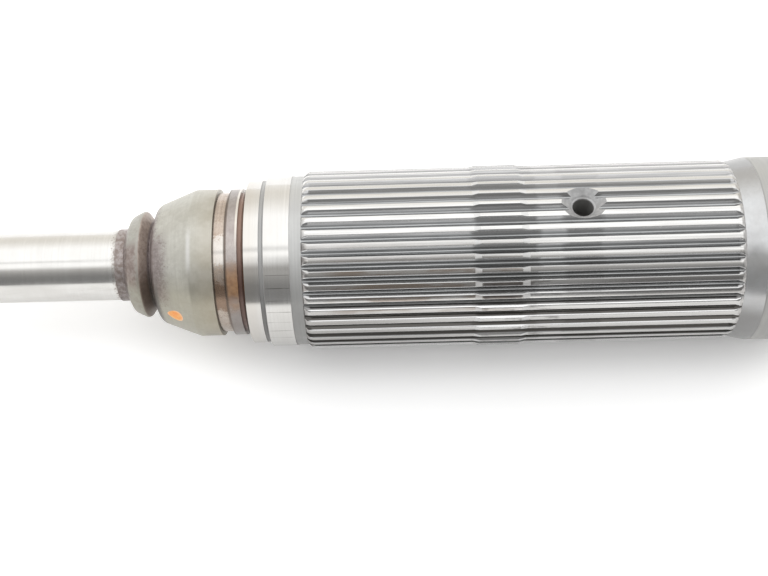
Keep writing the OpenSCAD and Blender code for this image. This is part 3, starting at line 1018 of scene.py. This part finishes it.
def rib_steel():
    """The rib between the grooves: brownish and mottled, with orange rust on its front, painted shade on
    its top and front edge, and a painted highlight on its rear edge.
    """
    material, tree, shader = new_material("rib_steel")
    lathe = place(tree, "lathe")
    spot = place(tree, "place")
    along = spot["Along"]
    turn = spot["Turn"]
    loose = wander(tree, turn, lathe["Cloud"], 5.0)
    rust = place(tree, "rust", Spread=0.45, Softness=0.35, Speckle=0.6)
    steel = mixed(tree, lathe["Cloud"], RIB_LIGHT, RIB_DARK)
    steel = mixed(tree, share(tree, rust["Mask"], 0.6), steel, RIB_RUST)
    steel = mixed(tree, share(tree, lathe["Mottle"], 0.3), steel, RIB_MOTTLE)
    # Painted shade darkens the rib's top
    steel = mixed(tree, ranged(tree, turn, *RIB_TOP_SHADE_TURN, 0.5, 0.0), steel, RIB_TOP_SHADE)
    coat = mixed(tree, lathe["Mottle"], RIB_ORANGE_DARK, RIB_ORANGE_LIGHT)
    orange = share(tree, band(tree, loose, *RIB_ORANGE_TURN), eased(tree, lathe["Cloud"], 0.95, 0.7))
    # Painted shade darkens the underside
    steel = underside_shade(tree, mixed(tree, orange, steel, coat), spot, 0.47)
    # Painted shade along the rib's front edge
    steel = mixed(tree, share(tree, band(tree, along, *RIB_EDGE_SHADE_AT), 0.75), steel, RIB_EDGE_SHADE)
    # Painted highlight on the rib's rear edge, on the upper front
    painted_glint = share(tree, band(tree, along, *RIB_HIGHLIGHT_AT), ranged(tree, turn, *RIB_HIGHLIGHT_TURN, 0.75, 0.0))
    feed(tree, shader["Base Color"], mixed(tree, painted_glint, steel, RIB_EDGE_HIGHLIGHT))
    feed(tree, shader["Metallic"], eased(tree, orange, 0.8, 0.3))
    feed(tree, shader["Roughness"], eased(tree, rust["Mask"], 0.24, 0.4))
    feed(tree, shader["Normal"], bump(tree, lathe["Mottle"], 0.006))
    return material


def band_steel():
    """The turned bands beside the lands: plain matt grey."""
    material, tree, shader = new_material("band_steel", 0.45)
    spot = place(tree, "place")
    lathe = place(tree, "lathe")
    steel = mixed(tree, lathe["Lines"], BAND_DARK, BAND_LIGHT)
    steel = mixed(tree, share(tree, lathe["Cloud"], 0.4), steel, BAND_CLOUD)
    relief = band(tree, spot["Along"], *RELIEF_SHADOW_AT)
    shadow = ranged(tree, spot["Turn"], *RELIEF_SHADOW_TURN, 0.28, 0.65)
    steel = mixed(tree, share(tree, relief, shadow), steel, RELIEF_SHADOW)
    # Painted shade darkens the underside
    feed(tree, shader["Base Color"], underside_shade(tree, steel, spot, 0.5))
    feed(tree, shader["Roughness"], eased(tree, lathe["Cloud"], 0.3, 0.4))
    feed(tree, shader["Normal"], bump(tree, lathe["Lines"], 0.005))
    return material


def ramp_steel():
    """The ramp behind the teeth, rubbed to a dull shine, with painted shade on its top and underside."""
    material, tree, shader = new_material("ramp_steel", 0.8)
    spot = place(tree, "place")
    lathe = place(tree, "lathe")
    steel = mixed(tree, lathe["Cloud"], RAMP_DARK, RAMP_LIGHT)
    steel = mixed(tree, share(tree, lathe["Mottle"], 0.2), steel, RAMP_MOTTLE)
    # Painted shade darkens the ramp's top
    steel = mixed(tree, ranged(tree, spot["Turn"], *RAMP_TOP_SHADE_TURN, 0.8, 0.0), steel, RAMP_TOP_SHADE)
    # Painted shade darkens the ramp's underside
    low = ranged(tree, spot["Turn"], *RAMP_LOW_SHADE_TURN, 0.0, 0.62)
    feed(tree, shader["Base Color"], mixed(tree, low, steel, PAINTED_SHADE))
    feed(tree, shader["Roughness"], eased(tree, lathe["Cloud"], 0.2, 0.26))
    feed(tree, shader["Normal"], bump(tree, lathe["Lines"], 0.0015))
    return material


def collar_steel():
    """The rear collar: matt grey, with a painted shadow line where it meets the ramp."""
    material, tree, shader = new_material("collar_steel", 0.35)
    spot = place(tree, "place")
    lathe = place(tree, "lathe")
    steel = mixed(tree, lathe["Lines"], COLLAR_DARK, COLLAR_LIGHT)
    steel = mixed(tree, share(tree, lathe["Cloud"], 0.4), steel, COLLAR_CLOUD)
    # Painted shadow line where the collar meets the ramp
    line = band(tree, spot["Along"], *RAMP_EDGE_SHADOW_AT)
    steel = mixed(tree, share(tree, line, 0.4), steel, RAMP_EDGE_SHADOW)
    # Painted shade darkens the underside
    feed(tree, shader["Base Color"], underside_shade(tree, steel, spot, 0.2))
    feed(tree, shader["Roughness"], eased(tree, lathe["Cloud"], 0.4, 0.5))
    feed(tree, shader["Normal"], bump(tree, lathe["Lines"], 0.005))
    return material


def dulled_and_shaded_tips(tree, along, turn, spot):
    """Where the tips are dull: on the raised band's crest, at the rear, and at both ends; below, the same
    darkening is painted shade.
    """
    crest = patch(tree, spot, CREST_AT, CREST_TURN)
    rear = share(tree, ranged(tree, along, *REAR_TIPS_AT), band(tree, turn, *REAR_TIPS_TURN))
    # Painted shade: the lower tips are darker
    below = share(tree, ranged(tree, along, *TIP_SHADE_LOW_AT, 0.5, 0.2), ranged(tree, turn, *TIP_SHADE_LOW_TURN))
    front_ends = ranged(tree, along, *FRONT_ENDS_AT, 0.55, 0.0)
    front_ends = share(tree, front_ends, band(tree, turn, *FRONT_ENDS_TURN))
    rear_ends = ranged(tree, along, *REAR_ENDS_AT, 0.0, 0.38)
    dulled_and_shaded = stronger(tree, share(tree, crest, 0.7), share(tree, rear, 0.45))
    for mask in (below, front_ends, rear_ends):
        dulled_and_shaded = stronger(tree, dulled_and_shaded, mask)
    return dulled_and_shaded


def tooth_steel():
    """Tips of the teeth: bright, streaked lengthways, worn dull in front, smeared round the raised band,
    with a painted brown reflection in front and painted shade below.
    """
    material, tree, shader = new_material("tooth_steel")
    slide = place(tree, "slide")
    spot = place(tree, "place")
    along = spot["Along"]
    turn = spot["Turn"]
    steel = mixed(tree, slide["Streaks"], TIP_DARK, TIP_LIGHT)
    worn = share(tree, ranged(tree, along, *TIP_WEAR_AT, 0.55, 0.15), band(tree, turn, *TIP_WEAR_TURN))
    steel = mixed(tree, worn, steel, mixed(tree, slide["Patches"], TIP_WORN_LIGHT, TIP_WORN_DARK))
    # Painted reflection: a brown tint on the tips in front
    reflected_tint = patch(tree, spot, TIP_REFLECTION_AT, TIP_REFLECTION_TURN)
    reflected_tint = share(tree, reflected_tint, eased(tree, slide["Patches"], 0.1, 0.75))
    steel = mixed(tree, reflected_tint, steel, TIP_REFLECTION_TINT)
    smeared = share(tree, patch(tree, spot, TIP_SMEARS_AT, TIP_SMEARS_TURN), slide["Smears"])
    steel = mixed(tree, share(tree, smeared, 0.6), steel, TIP_SMEARS)
    steel = mixed(tree, dulled_and_shaded_tips(tree, along, turn, spot), steel, TIP_DULL_AND_SHADE)
    # Painted shade darkens the underside
    steel = underside_shade(tree, steel, spot, 0.14)
    hazy = 0.0
    for slope in RAISED_SLOPES_AT:
        hazy = stronger(tree, band(tree, along, *slope), hazy)
    feed(tree, shader["Base Color"], mixed(tree, share(tree, hazy, 0.6), steel, TIP_HAZE))
    feed(tree, shader["Metallic"], eased(tree, hazy, 1.0, 0.55))
    shine = eased(tree, slide["Streaks"], 0.24, 0.15)
    feed(tree, shader["Roughness"], sums(tree, "ADD", shine, share(tree, hazy, 0.25)))
    feed(tree, shader["Normal"], bump(tree, slide["Streaks"], 0.003))
    return material


def flank_steel():
    """Flanks and roots of the tooth spaces: rubbed bright, dull where no hub slides, with painted shade in
    the roots, below and behind, and a painted highlight on the front edges.
    """
    material, tree, shader = new_material("flank_steel")
    slide = place(tree, "slide")
    spot = place(tree, "place")
    turn = spot["Turn"]
    height = ranged(tree, spot["Out"], *FLANK_FOOT_OUT)
    rubbed = mixed(tree, slide["Streaks"], FLANK_DARK, FLANK_LIGHT)
    # Painted shade: the roots of the spaces are darker than the flanks
    root = mixed(tree, slide["Streaks"], ROOT_SHADE_DARK, ROOT_SHADE_LIGHT)
    steel = mixed(tree, height, root, rubbed)
    dull = 0.0
    along = wander(tree, spot["Along"], slide["Patches"], 0.7)
    for start, end, part in DULL_FLANKS:
        dull = stronger(tree, share(tree, band(tree, along, start, end, DULL_BLUR), part), dull)
    dull = share(tree, dull, ranged(tree, height, 0.1, 0.6, 0.55, 1.0))
    dull = share(tree, dull, ranged(tree, turn, *FLANK_DULL_TURN, 0.45, 1.0))
    steel = mixed(tree, dull, steel, FLANK_DULL)
    # Painted shade in the tooth spaces below and behind, kept off the tips' edges
    below = ranged(tree, turn, *FLANK_LOW_TURN, 0.0, 0.9)
    behind = ranged(tree, turn, *FLANK_BACK_TURN, 0.5, 0.0)
    edge = ranged(tree, spot["Out"], *FLANK_EDGE_OUT)
    flank_shade = share(tree, stronger(tree, below, behind), sums(tree, "SUBTRACT", 1.0, edge))
    steel = mixed(tree, flank_shade, steel, PAINTED_SHADE)
    # Painted highlight on the teeth's edges in front
    edge_highlight = share(tree, edge, band(tree, turn, *FLANK_HIGHLIGHT_TURN))
    feed(tree, shader["Base Color"], mixed(tree, share(tree, edge_highlight, 0.8), steel, FLANK_EDGE_HIGHLIGHT))
    feed(tree, shader["Roughness"], eased(tree, dull, 0.17, 0.4))
    feed(tree, shader["Normal"], bump(tree, slide["Streaks"], 0.004))
    return material


def bore_steel():
    """Walls of the holes: a matt countersink with a pale rim, and a bore that is dark with old oil."""
    material, tree, shader = new_material("bore_steel", 0.4)
    lathe = place(tree, "lathe")
    spot = place(tree, "place")
    deep = ranged(tree, spot["Out"], *BORE_DEEP_OUT, 1.0, 0.0)
    rim = ranged(tree, spot["Out"], *BORE_RIM_OUT, 0.8, 0.0)
    wall = mixed(tree, lathe["Mottle"], BORE_DARK, BORE_LIGHT)
    wall = mixed(tree, rim, wall, BORE_RIM)
    feed(tree, shader["Base Color"], mixed(tree, deep, wall, BORE_DEEP))
    feed(tree, shader["Roughness"], eased(tree, lathe["Cloud"], 0.36, 0.46))
    feed(tree, shader["Normal"], bump(tree, lathe["Mottle"], 0.02))
    return material


def orange_paint():
    """The inspector's dab of orange paint, thin and pale at its edge."""
    material, tree, shader = new_material("orange_paint", 0.0, 0.4)
    spot = place(tree, "place")
    cloud = grain_noise(tree, PAINT_CLOUDS, 3.0)
    paint = mixed(tree, ranged(tree, cloud, 0.35, 0.65), PAINT_DEEP, PAINT_LIGHT)
    off_x = share(tree, sums(tree, "SUBTRACT", spot["Along"], DAB_X), 1 / DAB_HALF_L)
    off_turn = share(tree, sums(tree, "SUBTRACT", spot["Turn"], DAB_TURN), 1 / DAB_HALF_TURN)
    squares = sums(tree, "ADD", share(tree, off_x, off_x), share(tree, off_turn, off_turn))
    thin = ranged(tree, sums(tree, "SQRT", squares), 0.62, 1.0, 0.0, 0.8)
    feed(tree, shader["Base Color"], mixed(tree, thin, paint, PAINT_THIN))
    feed(tree, shader["Normal"], bump(tree, cloud, 0.02))
    return material


FINISHES = {
    "journal_steel": journal_steel(),
    "neck_rust": neck_rust(),
    "head_steel": head_steel(),
    "groove_steel": groove_steel(),
    "groove_rust": groove_rust(),
    "rib_steel": rib_steel(),
    "land_steel": land_steel(),
    "band_steel": band_steel(),
    "tooth_steel": tooth_steel(),
    "flank_steel": flank_steel(),
    "ramp_steel": ramp_steel(),
    "collar_steel": collar_steel(),
    "bore_steel": bore_steel(),
}


# Studio

# The floor, with painted light that lifts it lighter away from the shaft and round its head, and darker far
# in front of it
FLOOR_HALF = 12000.0
FLOOR_Z = cad_box[0][2] / MM
FLOOR_COLOUR = grey(0.93)
FLOOR_LIFT = 0.16
FLOOR_PAINTED_LIGHT = 0.08
PAINTED_LIGHT_AT = at("neck", -7.0, 53.0)
PAINTED_LIGHT_OFF = (6.0, 17.0)
PAINTED_LIGHT_BLUR = 12.0
HEAD_PAINTED_LIGHT = 0.1
HEAD_PAINTED_LIGHT_AT = at("taper", 2.3, 37.3)
FAR_OFF = (130.0, 1500.0)
FAR_COLOUR = grey(0.45)

# Light from each direction round the shaft's axis: degrees up from the front horizon, strength, warmth.
# The room is dim in front, a wide soft box hangs overhead, and the backdrop behind is white.
# The camera itself hides a part of the box.
SKY = (
    (-33.0, 0.9, 0.0), (-13.0, 0.6, 0.0), (-1.0, 0.4, 0.0), (12.0, 0.3, 0.0), (25.0, 0.3, 0.2),
    (37.0, 0.42, 0.3), (49.0, 0.66, 0.4), (58.0, 1.5, 0.0), (69.0, 1.55, 0.0), (74.0, 1.0, 0.0),
    (79.0, 1.55, 0.0), (119.0, 1.55, 0.0), (135.0, 1.3, 0.5), (149.0, 1.13, 0.8), (162.0, 1.1, 1.0),
    (179.0, 1.2, 0.6), (202.0, 1.15, 0.2),
)
SKY_TOP = 1.55
SKY_START = SKY[0][0]
SKY_END = SKY[-1][0]
SKY_SIDES = 0.95
SIDES_ASIDE = (0.7, 0.92)
WARM = (1.0, 0.965, 0.9)
CAMERA_SHADE = 0.62
CAMERA_SHADE_UP = (40.0, 68.0, 9.0)
CAMERA_SHADE_ASIDE = (0.03, 0.2)
CAMERA_TONE = grey(0.1)


def floor_paint():
    """The floor's pale paint, with a lift that only the camera and reflections see, made stronger away from
    the shaft and round its head as painted light.
    """
    material, tree = empty_material("studio_floor")
    rays = add(tree, "LightPath").outputs
    seen = stronger(tree, rays["Is Camera Ray"], rays["Is Glossy Ray"])
    seen = stronger(tree, seen, rays["Is Transmission Ray"])
    along = place(tree, "place")["Along"]
    _, y, _ = add(tree, "SeparateXYZ", {0: add(tree, "TexCoord").outputs["Object"]}).outputs
    ahead = sums(tree, "MULTIPLY", y, -1 / MM)
    start = ranged(tree, along, *PAINTED_LIGHT_AT, *PAINTED_LIGHT_OFF)
    end = sums(tree, "ADD", start, PAINTED_LIGHT_BLUR)
    # Painted light: the floor's glow grows away from the shaft and round its head
    glow = ranged(tree, sums(tree, "ABSOLUTE", ahead), start, end, FLOOR_LIFT, FLOOR_LIFT + FLOOR_PAINTED_LIGHT)
    glow = sums(tree, "ADD", glow, ranged(tree, along, *HEAD_PAINTED_LIGHT_AT, HEAD_PAINTED_LIGHT, 0.0))
    far = ranged(tree, ahead, *FAR_OFF)
    near = sums(tree, "SUBTRACT", 1.0, far)
    paint = add(tree, "BsdfDiffuse", {"Color": mixed(tree, far, FLOOR_COLOUR, FAR_COLOUR)})
    lift = add(tree, "Emission", {"Strength": share(tree, seen, share(tree, near, glow))})
    both = add(tree, "AddShader", {0: paint.outputs[0], 1: lift.outputs[0]})
    add(tree, "OutputMaterial", {"Surface": both.outputs[0]})
    return material


def studio_floor():
    """A pale floor that keeps the shaft's shadow."""
    bm = bmesh.new()
    bmesh.ops.create_grid(bm, x_segments=1, y_segments=1, size=FLOOR_HALF)
    bmesh.ops.translate(bm, vec=(SHAFT_END / 2, 0.0, FLOOR_Z), verts=bm.verts)
    floor = to_object(bm, "studio_floor", [floor_paint()])


def studio_sky():
    """A soft sky that is bright overhead, white behind, darker in front and even past both ends."""
    world = bpy.data.worlds.new("studio_sky")
    world.use_nodes = True
    tree = world.node_tree
    tree.nodes.clear()
    way = add(tree, "TexCoord").outputs["Generated"]
    x, y, z = add(tree, "SeparateXYZ", {0: way}).outputs
    angle = sums(tree, "DEGREES", sums(tree, "ARCTAN2", z, sums(tree, "MULTIPLY", y, -1.0)))
    wrapped = sums(tree, "WRAP", angle, SKY_START + 360)
    wrapped.node.inputs[2].default_value = SKY_START
    turn = add(tree, "MapRange", {"Value": wrapped, 1: SKY_START, 2: SKY_END}, clamp=True).outputs[0]
    ramp = add(tree, "ValToRGB", {"Fac": turn})
    stops = ramp.color_ramp.elements
    while len(stops) < len(SKY):
        stops.new(1.0)
    for stop, (degrees, strength, warmth) in zip(stops, SKY):
        stop.position = (degrees - SKY_START) / (SKY_END - SKY_START)
        tint = tuple(1 + warmth * (channel - 1) for channel in WARM)
        stop.color = grey(strength / SKY_TOP, tint)
    aside = sums(tree, "ABSOLUTE", x)
    hidden = ranged(tree, aside, *CAMERA_SHADE_ASIDE, CAMERA_SHADE, 0.0)
    hidden = share(tree, band(tree, angle, *CAMERA_SHADE_UP), hidden)
    light = mixed(tree, hidden, ramp.outputs[0], CAMERA_TONE)
    light = mixed(tree, ranged(tree, aside, *SIDES_ASIDE), light, grey(SKY_SIDES / SKY_TOP))
    sky = add(tree, "Background", {"Color": light, "Strength": SKY_TOP})
    add(tree, "OutputWorld", {"Surface": sky.outputs[0]})
    bpy.context.scene.world = world


def photograph_camera():
    """The camera, placed over the shaft as it was for the photograph."""
    tilt = Matrix.Rotation(-CAMERA_ELEVATION, 3, "X")
    forward = Vector((
        math.sin(CAMERA_YAW) * math.cos(CAMERA_PITCH),
        math.cos(CAMERA_YAW) * math.cos(CAMERA_PITCH),
        math.sin(CAMERA_PITCH),
    ))
    level = Vector((math.cos(CAMERA_YAW), -math.sin(CAMERA_YAW), 0.0))
    above = level.cross(forward)
    right = tilt @ (math.cos(CAMERA_ROLL) * level + math.sin(CAMERA_ROLL) * above)
    up = tilt @ (math.cos(CAMERA_ROLL) * above - math.sin(CAMERA_ROLL) * level)
    back = tilt @ -forward
    lens = bpy.data.cameras.new("photograph_camera")
    lens.sensor_fit = "HORIZONTAL"
    lens.sensor_width = CAMERA_SENSOR
    lens.lens = CAMERA_LENS
    lens.clip_start = CAMERA_CLIP * MM
    camera = bpy.data.objects.new("photograph_camera", lens)
    spot = Vector((
        CAMERA_X,
        -CAMERA_DISTANCE * math.cos(CAMERA_ELEVATION),
        CAMERA_DISTANCE * math.sin(CAMERA_ELEVATION),
    ))
    pose = Matrix((right, up, back)).transposed().to_4x4()
    camera.matrix_world = Matrix.Translation(spot * MM) @ pose
    bpy.context.scene.collection.objects.link(camera)
    bpy.context.scene.camera = camera


shaft = main_shaft(FINISHES)
dab = paint_dab()
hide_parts("main_shaft")
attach(shaft, "root")
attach(dab, "root")

studio_floor()
studio_sky()
photograph_camera()
bpy.context.scene.view_settings.view_transform = "Standard"
